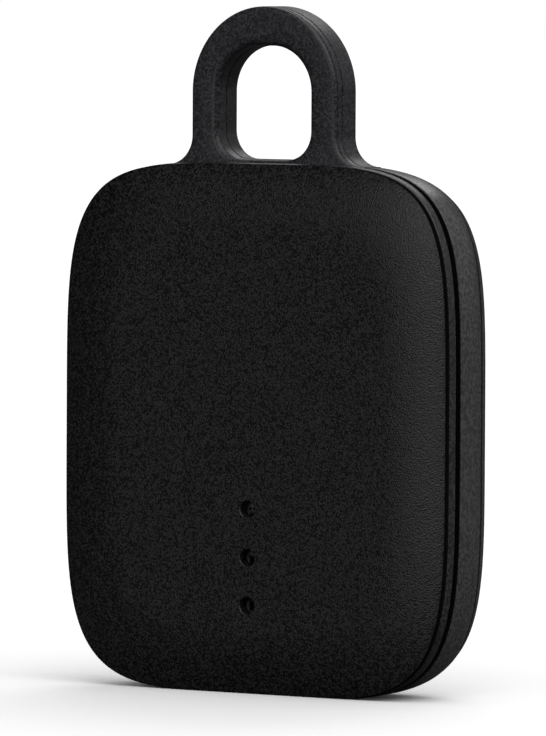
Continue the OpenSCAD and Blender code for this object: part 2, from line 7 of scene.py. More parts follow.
from math import cos, pi, radians, sin

import bmesh
import bpy
from mathutils import Matrix, Vector

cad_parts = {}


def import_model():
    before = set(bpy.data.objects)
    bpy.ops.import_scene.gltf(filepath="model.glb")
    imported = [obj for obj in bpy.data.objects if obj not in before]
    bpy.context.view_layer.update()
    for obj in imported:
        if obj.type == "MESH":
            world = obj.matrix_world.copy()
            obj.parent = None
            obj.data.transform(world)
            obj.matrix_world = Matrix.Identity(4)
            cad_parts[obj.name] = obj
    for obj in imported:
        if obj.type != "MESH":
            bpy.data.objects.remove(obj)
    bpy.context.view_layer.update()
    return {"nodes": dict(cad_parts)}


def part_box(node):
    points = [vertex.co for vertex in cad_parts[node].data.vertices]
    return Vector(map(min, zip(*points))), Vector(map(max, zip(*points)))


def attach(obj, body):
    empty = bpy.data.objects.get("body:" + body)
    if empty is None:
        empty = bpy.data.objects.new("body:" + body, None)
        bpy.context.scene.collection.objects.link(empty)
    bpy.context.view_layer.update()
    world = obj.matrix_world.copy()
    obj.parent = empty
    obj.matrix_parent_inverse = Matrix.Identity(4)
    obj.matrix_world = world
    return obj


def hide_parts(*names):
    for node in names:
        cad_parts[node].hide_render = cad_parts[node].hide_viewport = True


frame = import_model()

MM = 0.001
SMOOTH_DEG = 35


def corners_mm(node):
    """The lowest and highest corner of a node, in millimetres."""
    low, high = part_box(node)
    return low / MM, high / MM


# Places that the frame gives
cover_low, cover_high = corners_mm("front_cover")
mid_low, mid_high = corners_mm("mid_frame")
shell_low, shell_high = corners_mm("rear_shell")
disc_low, disc_high = corners_mm("sounder_disc")
plunger_low, plunger_high = corners_mm("switch_plunger")
board_low = corners_mm("circuit_board")[0]
gauze_low = corners_mm("sound_mesh")[0]
pad_high = corners_mm("cell_pad")[1]
tape_high = corners_mm("sounder_tape")[1]
screw_high = corners_mm("board_screws")[1]

# The body's outline: a squared ellipse, cut flat at the bottom. A power of 2 would be a plain one.
half_w = shell_high.x
body_h = shell_high.z
foot_cut = 0.14
half_h = (body_h + foot_cut) / 2
mid_z = body_h - half_h
outline_power = 1 / 0.215
outline_points = 288
core_inset = half_w - 0.1  # the smallest outline that is drawn, just short of the middle line

# Depths from front to back
front_y = cover_low.y
skirt_y = cover_high.y
skirt_d = 0.6
rim_y = skirt_y - skirt_d
step_d = 0.25
band_y = mid_low.y
band_d = 1.05
band_set_back = 0.26
face_y = band_y + band_set_back
groove_y = band_y + band_d
shell_y = shell_low.y
back_y = shell_high.y
shell_in_y = pad_high.y
cover_in_y = gauze_low.y
ledge_d = 0.35
ledge_y = groove_y - ledge_d
board_y = board_low.y
neck_back_y = mid_high.y

# Insets from the outline
cover_inset = foot_cut / 2
step_inset = 0.45
skirt_inset = 1.1
pocket_inset = 1.9
band_wall = 1.0
band_round = 0.12
band_round_d = 0.3
shell_wall = 1.1
neck_inset = 1.2
neck_in_inset = 2.0
ledge_in_inset = 3.2
seal_depth = 0.4

# Front cover
crown_w = 5.0
crown_power = 0.9
hole_r = 0.6
hole_pitch = 3.45
hole_z = (disc_low.z + disc_high.z) / 2
hole_lip = 0.08
hole_fall = 0.004  # how far the crown has fallen where the holes are
boss_r = 1.6
boss_fillet = 0.3
boss_edge = 0.1
boss_gap = 0.02
plunger_y = plunger_low.y
switch_z = (plunger_low.z + plunger_high.z) / 2

# Key loop
loop_r = 6.1
open_r = 3.88
loop_lap = 0.25
loop_y = groove_y - loop_lap
loop_t = 2.95
loop_back_y = loop_y + loop_t
loop_round = 0.25
opening_round = 0.5
arch_z = mid_high.z - loop_r
open_rise = 0.25
open_h = 8.13
open_z = body_h + open_rise
open_top_z = open_z + open_h
opening_top_r = 3.3
opening_r = 2.05
flare_r = 2.1
flare_x = loop_r + flare_r
saddle_d = 1.6
saddle_z = body_h - saddle_d
loop_lines = [loop_y + 0.35, loop_y + 1.0]
opening_lines = [loop_y + 1.25]
line_w = 0.18
line_d = 0.18

# Rear shell
lead_in_d = 0.45
taper_w = 0.6
taper_power = 3
roll_d = 1.8
roll_w = 8.0
roll_power = 0.5
pad_gap = 0.1
cavity_w = half_w - shell_wall - pad_high.x - pad_gap
cavity_power = 0.35
neck_gap = 0.1
roll_y = neck_back_y + neck_gap
notch_gap = 0.15
notch_y = loop_back_y + notch_gap
notch_side_gap = 0.1
notch_r = 0.15
notch_h = 3 * neck_inset

# Seal behind the notch
seal_gap = 0.1
seal_y = notch_y + seal_gap
seal_w = 0.6
seal_fit = 0.02

# How far inside the outline the painted shade starts: a near-black matt material that stands in for
# the shade in the seam, the groove and the shell's mouth
cover_shade_inset = 0.2
band_shade_inset = 0.08
neck_shade_inset = neck_inset - 0.05
shell_shade_inset = 0.25

# Screw posts and sounder seat inside the frame
post_r = 1.7
post_tip_r = 1.5
post_edge = 0.1
screw_head_r = 1.2
post_x = screw_high.x - screw_head_r
post_z = screw_high.z - screw_head_r - mid_z
seat_y = tape_high.y
seat_d = 0.9
seat_w = 1.4
seat_r = (disc_high.x - disc_low.x) / 2 + seat_w / 2
seat_in_r = seat_r - seat_w
seat_rim_r = disc_high.x + 0.1

# Floor, as the camera and as the object see it, and the room's strength as light and as reflection
floor_tone = "#f4f4f4"
floor_dim_tone = "#3c3c3c"
room_light = 0.61
room_gloss = 0.02


def outline(inset):
    """Points (x, z) of the body's outline, drawn in by inset."""
    points = []
    for i in range(outline_points):
        a = 2 * pi * i / outline_points
        c, s = cos(a), sin(a)
        x = (half_w - inset) * (1 if c >= 0 else -1) * abs(c) ** (2 / outline_power)
        z = mid_z + (half_h - inset) * (1 if s >= 0 else -1) * abs(s) ** (2 / outline_power)
        points.append((x, max(0.0, z)))
    return points


def ring_at(y, points):
    """A ring of points at depth y, from pairs (x, z)."""
    return [Vector((x, y, z)) for x, z in points]


def dome(inset, y_rim, depth, width, power, steps=28):
    """Rings of a dome that rises by depth while its outline draws in by width, and stays flat from
    there to its middle. A low power gives it a round edge, and 1 none."""
    rings = []
    for i in range(1, steps + 1):
        share = (i / steps) ** 2
        rise = depth * (1 - (1 - share) ** 2) ** power
        rings.append(ring_at(y_rim + rise, outline(inset + width * share)))
    reach = core_inset - inset - width
    rows = 9
    for i in range(1, rows + 1):
        rings.append(ring_at(y_rim + depth, outline(inset + width + reach * i / rows)))
    return rings


def quarter(steps):
    """Pairs (1 - cosine, 1 - sine) round a quarter turn, for rounded edges."""
    angles = [pi / 2 * i / steps for i in range(steps + 1)]
    return [(1 - cos(a), 1 - sin(a)) for a in angles]


def mesh_piece(name, points, faces, material):
    """A mesh object made from points in millimetres."""
    mesh = bpy.data.meshes.new(name)
    mesh.from_pydata([tuple(p * MM) for p in points], [], faces)
    piece = bpy.data.objects.new(name, mesh)
    bpy.context.scene.collection.objects.link(piece)
    bm = bmesh.new()
    bm.from_mesh(mesh)
    bmesh.ops.remove_doubles(bm, verts=bm.verts, dist=1e-7)
    bmesh.ops.recalc_face_normals(bm, faces=bm.faces)
    bm.to_mesh(mesh)
    bm.free()
    mesh.materials.append(material)
    smooth(piece)
    return piece


def smooth(piece):
    """Shades a piece smooth, but for its sharp edges."""
    piece.data.shade_smooth()
    piece.data.set_sharp_from_angle(angle=radians(SMOOTH_DEG))


def loft(name, rings, material, closed=False):
    """A skin through rings of points; with closed, the last ring joins the first, and else the ends
    are capped."""
    n, m = len(rings[0]), len(rings)
    faces = []
    for j in range(m if closed else m - 1):
        a, b = j * n, (j + 1) % m * n
        faces += [(a + i, a + (i + 1) % n, b + (i + 1) % n, b + i) for i in range(n)]
    if not closed:
        faces += [tuple(range(n)), tuple((m - 1) * n + i for i in range(n))]
    return mesh_piece(name, [p for ring in rings for p in ring], faces, material)


def lathe(name, x, z, profile, material, steps=64, closed=False):
    """A solid of revolution round a line along Y through x and z, from pairs (y, radius)."""
    angles = [2 * pi * i / steps for i in range(steps)]
    rings = [[Vector((x + r * cos(a), y, z + r * sin(a))) for a in angles] for y, r in profile]
    return loft(name, rings, material, closed)


def cut(piece, tool, operation="DIFFERENCE"):
    """Takes the tool's shape out of the piece, or joins it on, and deletes the tool."""
    modifier = piece.modifiers.new("cut", "BOOLEAN")
    modifier.operation = operation
    modifier.solver = "EXACT"
    modifier.object = tool
    depsgraph = bpy.context.evaluated_depsgraph_get()
    mesh = bpy.data.meshes.new_from_object(piece.evaluated_get(depsgraph))
    piece.modifiers.clear()
    piece.data = mesh
    bpy.data.objects.remove(tool)
    smooth(piece)


def linear(hex_colour):
    """The linear colour of an sRGB hex value such as '#1c1c1e'."""
    values = []
    for i in (1, 3, 5):
        v = int(hex_colour[i:i + 2], 16) / 255
        values.append(v / 12.92 if v <= 0.04045 else ((v + 0.055) / 1.055) ** 2.4)
    return (*values, 1.0)


def add(material, kind, inputs=None, links=None, into=(), stops=(), **settings):
    """Adds a node. links maps an input to the (node, output) that feeds it; into lists the
    (output, node, input) that it feeds; stops lists the (place, hex colour) of a colour ramp."""
    tree = material.node_tree
    node = tree.nodes.new(kind)
    for name, value in settings.items():
        setattr(node, name, value)
    for name, value in (inputs or {}).items():
        node.inputs[name].default_value = value
    for name, (source, output) in (links or {}).items():
        tree.links.new(source.outputs[output], node.inputs[name])
    for output, target, name in into:
        tree.links.new(node.outputs[output], target.inputs[name])
    for i, (place, colour) in enumerate(stops):
        stop = node.color_ramp.elements[i] if i < 2 else node.color_ramp.elements.new(place)
        stop.position, stop.color = place, linear(colour)
    return node


def new_material(name, hex_colour, roughness, metallic=0.0, **sockets):
    """A material with one surface shader; sockets are the shader's own, such as IOR=1.54."""
    material = bpy.data.materials.new(name)
    material.use_nodes = True
    shader = material.node_tree.nodes["Principled BSDF"]
    shader.inputs["Base Color"].default_value = linear(hex_colour)
    shader.inputs["Roughness"].default_value = roughness
    shader.inputs["Metallic"].default_value = metallic
    for socket, value in sockets.items():
        shader.inputs[socket.replace("_", " ")].default_value = value
    return material, shader


def per_mm(size):
    """The texture scale that repeats about every size millimetres."""
    return 1 / (size * MM)


def grain(material, shader, size, depth, tones, gloss=(), detail=2.0, stretch=(1, 1, 1),
          spread=0.3):
    """Raised grain of a size and depth in millimetres. tones are two hex colours and gloss two
    roughnesses, for its hollows and its tops. stretch draws it out along an axis that is less
    than 1, and a small spread makes the step between the tones sharp."""
    place = add(material, "ShaderNodeTexCoord")
    axes = add(material, "ShaderNodeMapping", {"Scale": stretch}, {"Vector": (place, "Object")})
    noise = add(material, "ShaderNodeTexNoise",
                {"Scale": per_mm(size), "Detail": detail, "Roughness": 0.55},
                {"Vector": (axes, "Vector")})
    add(material, "ShaderNodeBump", {"Strength": 1.0, "Distance": depth * MM},
        {"Height": (noise, "Fac")}, [("Normal", shader, "Normal")])
    add(material, "ShaderNodeValToRGB", links={"Fac": (noise, "Fac")},
        into=[("Color", shader, "Base Color")],
        stops=[(0.5 - spread / 2, tones[0]), (0.5 + spread / 2, tones[1])])
    if gloss:
        add(material, "ShaderNodeMapRange",
            {"From Min": 0.3, "From Max": 0.7, "To Min": gloss[0], "To Max": gloss[1]},
            {"Value": (noise, "Fac")}, [("Result", shader, "Roughness")])


def pebbles(material, shader, size, depth, tones, gloss):
    """A grain of separate round pebbles of a size and depth in millimetres, each with a tone
    between two hex colours and a roughness between two values."""
    low, high = 0.35, 0.8
    place = add(material, "ShaderNodeTexCoord")
    cells = add(material, "ShaderNodeTexVoronoi", {"Scale": per_mm(size)},
                {"Vector": (place, "Object")})
    add(material, "ShaderNodeBump", {"Strength": 1.0, "Distance": depth * MM},
        {"Height": (cells, "Distance")}, [("Normal", shader, "Normal")], invert=True)
    add(material, "ShaderNodeValToRGB", links={"Fac": (cells, "Color")},
        into=[("Color", shader, "Base Color")], stops=[(low, tones[0]), (high, tones[1])])
    add(material, "ShaderNodeMapRange",
        {"From Min": low, "From Max": high, "To Min": gloss[0], "To Max": gloss[1]},
        {"Value": (cells, "Color")}, [("Result", shader, "Roughness")])


# Finishes

def spark_eroded_abs():
    """Black ABS moulded against a spark-eroded tool: a fine pebbled grain, nearly black from the
    front, whose pebbles differ a little in tone and gloss and turn grey in the side light."""
    material, shader = new_material("spark_eroded_abs", "#0c0c0d", 0.36, IOR=1.54)
    pebbles(material, shader, size=0.12, depth=0.016, tones=("#010101", "#212122"),
            gloss=(0.29, 0.48))
    return material


def satin_polycarbonate():
    """Black polycarbonate blend from a lightly blasted tool: a satin of shallow pebbles, lighter
    and a shade cooler than the cover."""
    material, shader = new_material("satin_polycarbonate", "#1b1b1e", 0.46, IOR=1.58)
    pebbles(material, shader, size=0.13, depth=0.008, tones=("#111115", "#343439"),
            gloss=(0.4, 0.55))
    return material


def painted_shade_plastic():
    """Painted shade: a dead matt, near-black plastic put in the seam, the groove and the shell's
    mouth, where shade falls, so that they read as shaded gaps."""
    # Painted shade: very dark and with little reflection, standing in for the shade inside the gaps
    material, shader = new_material("painted_shade_plastic", "#080809", 0.8, IOR=1.58,
                                    Specular_IOR_Level=0.2)
    grain(material, shader, size=0.15, depth=0.01, tones=("#060607", "#0a0a0b"))
    return material


def satin_abs():
    """Black ABS from a fine blasted tool: a smooth satin with a soft mottle, greyer under the side
    light than the grained cover."""
    material, shader = new_material("satin_abs", "#2e2e2f", 0.33, IOR=1.54)
    grain(material, shader, size=0.25, depth=0.007, tones=("#2f2f2f", "#464647"),
          gloss=(0.4, 0.26), detail=1.0, spread=0.2)
    return material


def silicone_rubber():
    """Black silicone rubber, moulded: soft sheen with a faint bloom."""
    material, shader = new_material("silicone_rubber", "#121212", 0.5, IOR=1.41,
                                    Sheen_Weight=0.15)
    grain(material, shader, size=0.2, depth=0.004, tones=("#101010", "#181818"))
    return material


def polyurethane_foam():
    """Dark open-cell polyurethane foam: pitted and without any shine."""
    material, shader = new_material("polyurethane_foam", "#232325", 0.95, IOR=1.4)
    grain(material, shader, size=0.25, depth=0.12, tones=("#0c0c0d", "#2e2e31"), detail=4.0)
    return material


def nickel_plated_steel():
    """Drawn steel with nickel plating: bright, with faint marks of rolling along one direction."""
    material, shader = new_material("nickel_plated_steel", "#b9b8b4", 0.24, metallic=1.0)
    grain(material, shader, size=0.5, depth=0.0015, tones=("#b0afab", "#c4c3bf"),
          gloss=(0.3, 0.2), stretch=(0.06, 1, 1))
    return material


def zinc_plated_steel():
    """Cold-headed steel with zinc plating: greyer and duller than nickel, slightly mottled."""
    material, shader = new_material("zinc_plated_steel", "#a5a8ac", 0.34, metallic=1.0)
    grain(material, shader, size=0.3, depth=0.002, tones=("#989ba0", "#b2b5b9"), gloss=(0.42, 0.3))
    return material


def stainless_spring():
    """Rolled stainless spring sheet: fine straight grain from rolling."""
    material, shader = new_material("stainless_spring", "#b5b3ae", 0.28, metallic=1.0)
    grain(material, shader, size=0.12, depth=0.001, tones=("#a9a7a2", "#bfbdb8"),
          stretch=(1, 1, 0.08))
    return material


def gold_flashed_bronze():
    """Phosphor bronze sheet with a thin gold flash: pale gold, stamped edges left smooth."""
    material, shader = new_material("gold_flashed_bronze", "#d9b978", 0.3, metallic=1.0)
    grain(material, shader, size=0.2, depth=0.0015, tones=("#cdab68", "#e2c486"),
          stretch=(1, 1, 0.15))
    return material


def rolled_brass():
    """Thin rolled brass sheet, slightly tarnished."""
    material, shader = new_material("rolled_brass", "#c9a45a", 0.32, metallic=1.0)
    grain(material, shader, size=0.6, depth=0.002, tones=("#b8924a", "#d3b06a"), gloss=(0.4, 0.28))
    return material


def woven_stainless_gauze():
    """Stainless gauze: round wires crossing about every quarter millimetre, drawn coarser than the
    real weave so that it shows, with painted shade: its wires darkened and the gaps between them
    near black for the dark chamber behind it."""
    material, shader = new_material("woven_stainless_gauze", "#606064", 0.5, metallic=1.0)
    place = add(material, "ShaderNodeTexCoord")
    wires = [
        add(material, "ShaderNodeTexWave", {"Scale": per_mm(0.25) / 20},
            {"Vector": (place, "Object")}, wave_type="BANDS", bands_direction=axis)
        for axis in ("X", "Z")
    ]
    weave = add(material, "ShaderNodeMath", links={0: (wires[0], "Fac"), 1: (wires[1], "Fac")},
                operation="MAXIMUM")
    add(material, "ShaderNodeBump", {"Strength": 1.0, "Distance": 0.05 * MM},
        {"Height": (weave, 0)}, [("Normal", shader, "Normal")])
    # Painted shade: the gaps between the wires are near black and the wires a darkened grey,
    # standing in for the dark chamber behind the gauze
    add(material, "ShaderNodeValToRGB", links={"Fac": (weave, 0)},
        into=[("Color", shader, "Base Color")], stops=[(0.3, "#0c0c0d"), (0.8, "#646468")])
    return material


def glass_filled_nylon():
    """Black nylon with short glass fibre: matte, with faint streaks where the fibres lie."""
    material, shader = new_material("glass_filled_nylon", "#161617", 0.6, IOR=1.53)
    grain(material, shader, size=0.25, depth=0.006, tones=("#121213", "#1e1e20"),
          stretch=(1, 1, 0.3))
    return material


def pressed_manganese_dioxide():
    """Pressed black powder: a dull granular pellet."""
    material, shader = new_material("pressed_manganese_dioxide", "#1a1918", 0.9)
    grain(material, shader, size=0.15, depth=0.03, tones=("#100f0f", "#242322"))
    return material


def lithium_foil():
    """Soft lithium foil: dull silver with faint wrinkles."""
    material, shader = new_material("lithium_foil", "#8f9093", 0.5, metallic=1.0)
    grain(material, shader, size=1.2, depth=0.02, tones=("#7f8083", "#9d9ea1"))
    return material


def polyimide_film():
    """Amber polyimide film: clear orange brown, glossy and nearly flat."""
    material, shader = new_material("polyimide_film", "#a8641c", 0.2, IOR=1.7)
    grain(material, shader, size=3.0, depth=0.01, tones=("#9a5a18", "#b26c20"))
    return material


def solder_mask():
    """Dark green solder mask on glass-epoxy board: semi-gloss, with copper tracks showing paler
    beneath it. The tracks are drawn as a plain grid of short runs about a millimetre apart."""
    material, shader = new_material("solder_mask", "#0c3a26", 0.3, IOR=1.55)
    place = add(material, "ShaderNodeTexCoord")
    lie = add(material, "ShaderNodeMapping", {"Rotation": (radians(90), 0, 0)},
              {"Vector": (place, "Object")})
    tracks = add(material, "ShaderNodeTexBrick",
                 {"Color1": linear("#0a3422"), "Color2": linear("#0c3d28"),
                  "Mortar": linear("#1b5a3c"), "Scale": per_mm(4.0), "Mortar Size": 0.03,
                  "Brick Width": 0.9, "Row Height": 0.28},
                 {"Vector": (lie, "Vector")}, [("Color", shader, "Base Color")])
    add(material, "ShaderNodeBump", {"Strength": 1.0, "Distance": 0.02 * MM},
        {"Height": (tracks, "Fac")}, [("Normal", shader, "Normal")])
    return material


def moulded_epoxy():
    """Black epoxy moulding compound of a chip: matte and finely granular."""
    material, shader = new_material("moulded_epoxy", "#191a1b", 0.7, IOR=1.55)
    grain(material, shader, size=0.08, depth=0.004, tones=("#141516", "#202122"))
    return material


def nickel_silver_can():
    """Drawn nickel silver can: bright with a soft drawn grain."""
    material, shader = new_material("nickel_silver_can", "#c2bfb6", 0.26, metallic=1.0)
    grain(material, shader, size=0.15, depth=0.001, tones=("#b6b3aa", "#ccc9c0"),
          stretch=(0.1, 1, 1))
    return material


def fired_alumina():
    """Fired alumina ceramic: off-white and finely speckled."""
    material, shader = new_material("fired_alumina", "#d8d4c8", 0.55, IOR=1.76)
    grain(material, shader, size=0.1, depth=0.004, tones=("#cdc9bd", "#e0dcd1"))
    return material


def sintered_ferrite():
    """Sintered ferrite: dark grey, dense and slightly sparkling."""
    material, shader = new_material("sintered_ferrite", "#2a2a2d", 0.5, IOR=2.3)
    grain(material, shader, size=0.1, depth=0.006, tones=("#222225", "#37373b"), gloss=(0.6, 0.4))
    return material


def titanate_ceramic():
    """Brown titanate ceramic of small capacitors: even and slightly waxy."""
    material, shader = new_material("titanate_ceramic", "#8a6a4c", 0.45, IOR=1.9)
    grain(material, shader, size=0.2, depth=0.003, tones=("#7e6045", "#967456"))
    return material


def white_acetal():
    """White acetal: slippery, faintly translucent and slightly yellow."""
    material, shader = new_material("white_acetal", "#dcdad2", 0.4, IOR=1.48,
                                    Subsurface_Weight=0.1)
    grain(material, shader, size=0.4, depth=0.003, tones=("#d4d2ca", "#e2e0d8"))
    return material


cover_plastic = spark_eroded_abs()
frame_plastic = satin_polycarbonate()
# Near-black matt painted shade for the seam, the groove and the shell's mouth
painted_shade = painted_shade_plastic()
shell_plastic = satin_abs()
rubber = silicone_rubber()

# Finishes of the nodes whose own shapes stay
FINISHES = {
    "cell_pad": polyurethane_foam(),
    "cell_can": nickel_plated_steel(),
    "cell_cathode": pressed_manganese_dioxide(),
    "cell_anode": lithium_foil(),
    "cell_gasket": glass_filled_nylon(),
    "positive_contact": gold_flashed_bronze(),
    "insulating_film": polyimide_film(),
    "circuit_board": solder_mask(),
    "board_screws": zinc_plated_steel(),
    "radio_chip": moulded_epoxy(),
    "main_crystal": nickel_silver_can(),
    "chip_antenna": fired_alumina(),
    "drive_inductor": sintered_ferrite(),
    "small_components": titanate_ceramic(),
    "switch_plate": stainless_spring(),
    "switch_plunger": white_acetal(),
    "sounder_disc": rolled_brass(),
    "sound_mesh": woven_stainless_gauze(),
}
# Nodes of the same finish as another
SAME_FINISH = {
    "cell_cap": "cell_can",
    "cell_tray": "cell_gasket",
    "negative_contact": "positive_contact",
    "clock_crystal": "main_crystal",
    "drive_transistor": "radio_chip",
    "switch_body": "cell_gasket",
    "switch_dome": "switch_plate",
    "sounder_ceramic": "chip_antenna",
    "sounder_tape": "cell_pad",
    "sounder_contacts": "positive_contact",
}
for twin, model in SAME_FINISH.items():
    FINISHES[twin] = FINISHES[model]
for node, finish in FINISHES.items():
    for slot in frame["nodes"][node].material_slots:
        slot.material = finish


# Front cover

def front_cover():
    """A shallow pillow with a thin rim, a step and a skirt behind it, and three sound holes."""
    rings = list(reversed(dome(cover_inset, rim_y, front_y - rim_y, crown_w, crown_power)))
    back = [
        (rim_y, cover_inset), (rim_y, step_inset), (rim_y + step_d, step_inset),
        (rim_y + step_d, skirt_inset), (skirt_y, skirt_inset), (skirt_y, pocket_inset),
        (cover_in_y, pocket_inset), (cover_in_y, core_inset),
    ]
    rings += [ring_at(y, outline(inset)) for y, inset in back]
    piece = loft("cover_shell", rings, cover_plastic)
    over = 0.5
    mouth_y = front_y + hole_fall
    lip = [(mouth_y + hole_lip * down, hole_r + hole_lip * across) for down, across in quarter(6)]
    bore = [(front_y - over, hole_r + hole_lip + over), *lip, (cover_in_y + over, hole_r)]
    for i in (-1, 0, 1):
        cut(piece, lathe("drill", 0, hole_z + i * hole_pitch, bore, cover_plastic))
    # Painted shade: the step and skirt behind the cover's rim get the near-black matt material,
    # standing in for the shade in the seam
    paint_shade_inside(piece, cover_shade_inset, rim_y, skirt_y, painted_shade)
    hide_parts("front_cover")
    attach(piece, "cover")


def press_boss():
    """The boss inside the cover that rests on the switch, with a fillet at its foot."""
    tip_y = plunger_y - boss_gap
    foot = [(cover_in_y - boss_edge, boss_r + boss_fillet)]
    foot += [(cover_in_y + boss_fillet * down, boss_r + boss_fillet * across)
             for down, across in quarter(5)]
    tip = [(tip_y - boss_edge, boss_r), (tip_y, boss_r - boss_edge)]
    piece = lathe("press_boss", 0, switch_z, foot + tip, cover_plastic)
    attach(piece, "cover")


# Mid frame, and the seal that sits on its neck

def band_and_neck():
    """The side band, the neck behind it with the seal's channel, and the ledge inside them."""
    edge = 0.05
    section = [(face_y + band_round_d * down, band_round * across)
               for down, across in quarter(8)]
    section += [(groove_y - edge * across, edge * down) for down, across in quarter(3)]
    section += [
        (groove_y, neck_inset), (seal_y, neck_inset), (seal_y, neck_inset + seal_depth),
        (seal_y + seal_w, neck_inset + seal_depth), (seal_y + seal_w, neck_inset),
        (neck_back_y - edge, neck_inset), (neck_back_y, neck_inset + edge),
        (neck_back_y, neck_in_inset - edge), (neck_back_y - edge, neck_in_inset),
        (board_y, neck_in_inset), (board_y, ledge_in_inset), (ledge_y, ledge_in_inset),
        (ledge_y, band_wall), (face_y + edge, band_wall), (face_y, band_wall - edge),
    ]
    rings = [ring_at(y, outline(inset)) for y, inset in section]
    return loft("mid_frame_moulding", rings, frame_plastic, closed=True)


def arc(x, z, r, start_deg, end_deg, steps):
    """Points (x, z) round an arc, without its first one."""
    angles = [radians(start_deg + (end_deg - start_deg) * i / steps)
              for i in range(1, steps + 1)]
    return [(x + r * cos(a), z + r * sin(a)) for a in angles]


def line(start, end, steps):
    """Points along a straight line, without its first one."""
    return [(start[0] + (end[0] - start[0]) * i / steps, start[1] + (end[1] - start[1]) * i / steps)
            for i in range(1, steps + 1)]


def mirrored(half):
    """A closed outline from its right half, which runs from the bottom middle to the top middle."""
    return half + [(-x, z) for x, z in reversed(half[1:-1])]


def loop_outline(inset):
    """The outer side of the loop, with its flared feet and the saddle sunk in the body."""
    flare_z = mid_z + half_h * (1 - (flare_x / half_w) ** outline_power) ** (1 / outline_power)
    start, corner, foot = (0, saddle_z), (flare_x, saddle_z), (flare_x, flare_z - inset)
    half = [start] + line(start, corner, 8) + line(corner, foot, 4)
    half += arc(flare_x, flare_z + flare_r, flare_r + inset, 270, 180, 16)
    half += line(half[-1], (loop_r - inset, arch_z), 12)
    half += arc(0, arch_z, loop_r - inset, 0, 90, 32)
    return mirrored(half)


def opening_outline(outset):
    """The opening of the loop, with tighter corners at its bottom than at its top."""
    low_x, low_z = open_r - opening_r, open_z + opening_r
    top_x, top_z = open_r - opening_top_r, open_top_z - opening_top_r
    start = (0, open_z - outset)
    half = [start] + line(start, (low_x, open_z - outset), 12)
    half += arc(low_x, low_z, opening_r + outset, 270, 360, 16)
    half += line(half[-1], (open_r + outset, top_z), 12)
    half += arc(top_x, top_z, opening_top_r + outset, 0, 90, 28)
    half += line(half[-1], (0, open_top_z + outset), 4)
    return mirrored(half)


def bar_steps(r, lines):
    """Pairs (y, inset) from the loop's front to its back, with edges rounded by r and fine lines
    cut in."""
    steps = [(loop_y + r * down, r * across) for down, across in quarter(6)]
    for y in lines:
        steps += [(y - line_w / 2, 0), (y, line_d), (y + line_w / 2, 0)]
    steps += [(loop_back_y - r * down, r * across) for down, across in reversed(quarter(6))]
    return steps


def key_loop():
    """The loop as one skin: its outer side, its front and back, and the wall of its opening."""
    outer = [ring_at(y, loop_outline(inset))
             for y, inset in bar_steps(loop_round, loop_lines)]
    inner = [ring_at(y, opening_outline(inset))
             for y, inset in bar_steps(opening_round, opening_lines)]
    return loft("loop", outer + list(reversed(inner)), frame_plastic, closed=True)


def paint_shade_inside(piece, reach, low_y, high_y, finish):
    """Gives the faces between two depths, and further than reach inside the outline, a material of
    their own, which is always the near-black painted shade of a seam or gap."""
    slack = 0.01
    piece.data.materials.append(finish)
    for face in piece.data.polygons:
        x, y, z = face.center / MM
        across = abs(x / (half_w - reach)) ** outline_power
        up = abs((z - mid_z) / (half_h - reach)) ** outline_power
        if low_y - slack < y < high_y and across + up < 1:
            face.material_index = 1


def frame_seats():
    """Screw posts and the seat of the sounder, inside the frame."""
    post = [(ledge_y, post_tip_r), (ledge_y + post_edge, post_r), (board_y, post_r)]
    seats = [lathe("post", sx * post_x, mid_z + sz * post_z, post, frame_plastic, 32)
             for sx in (-1, 1) for sz in (-1, 1)]
    seat_back_y = seat_y + seat_d
    seat = [(disc_low.y, seat_rim_r), (disc_low.y, seat_r), (seat_back_y, seat_r),
            (seat_back_y, seat_in_r), (seat_y, seat_in_r), (seat_y, seat_rim_r)]
    seats.append(lathe("sounder_seat", 0, hole_z, seat, frame_plastic, closed=True))
    return seats


def mid_frame():
    """One moulding with the key loop, and the posts and the seat inside it."""
    moulding = band_and_neck()
    cut(moulding, key_loop(), operation="UNION")
    # Painted shade: the neck inside the groove and the band's set-back front face in the seam get
    # the near-black matt material, standing in for their shade
    paint_shade_inside(moulding, neck_shade_inset, groove_y, neck_back_y + 1, painted_shade)
    paint_shade_inside(moulding, band_shade_inset, band_y, face_y + 0.02, painted_shade)
    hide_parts("mid_frame")
    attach(moulding, "frame")
    for piece in frame_seats():
        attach(piece, "frame")


def seal_ring():
    """A rubber ring with a rounded top, in the neck's channel and against the shell's wall."""
    soft = seal_w / 4
    top = shell_wall + seal_fit
    foot = neck_inset + seal_depth - seal_fit
    near, far = seal_y + seal_fit, seal_y + seal_w - seal_fit
    section = [(near + soft * down, top + soft * across) for down, across in quarter(4)]
    section += [(far - soft * down, top + soft * across) for down, across in reversed(quarter(4))]
    section += [(far, foot), (near, foot)]
    piece = loft("seal", [ring_at(y, outline(inset)) for y, inset in section], rubber, closed=True)
    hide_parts("seal_ring")
    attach(piece, "frame")


def rounded_rectangle(x, z, w, h, r, steps=5):
    """Points (x, z) of a rectangle with rounded corners, from its right side round by the top."""
    points = []
    for turn, sx, sz in ((0, 1, 1), (90, -1, 1), (180, -1, -1), (270, 1, -1)):
        corner_x, corner_z = x + sx * (w / 2 - r), z + sz * (h / 2 - r)
        points.append((corner_x + r * cos(radians(turn)), corner_z + r * sin(radians(turn))))
        points += arc(corner_x, corner_z, r, turn, turn + 90, steps)
    return points


# Rear shell

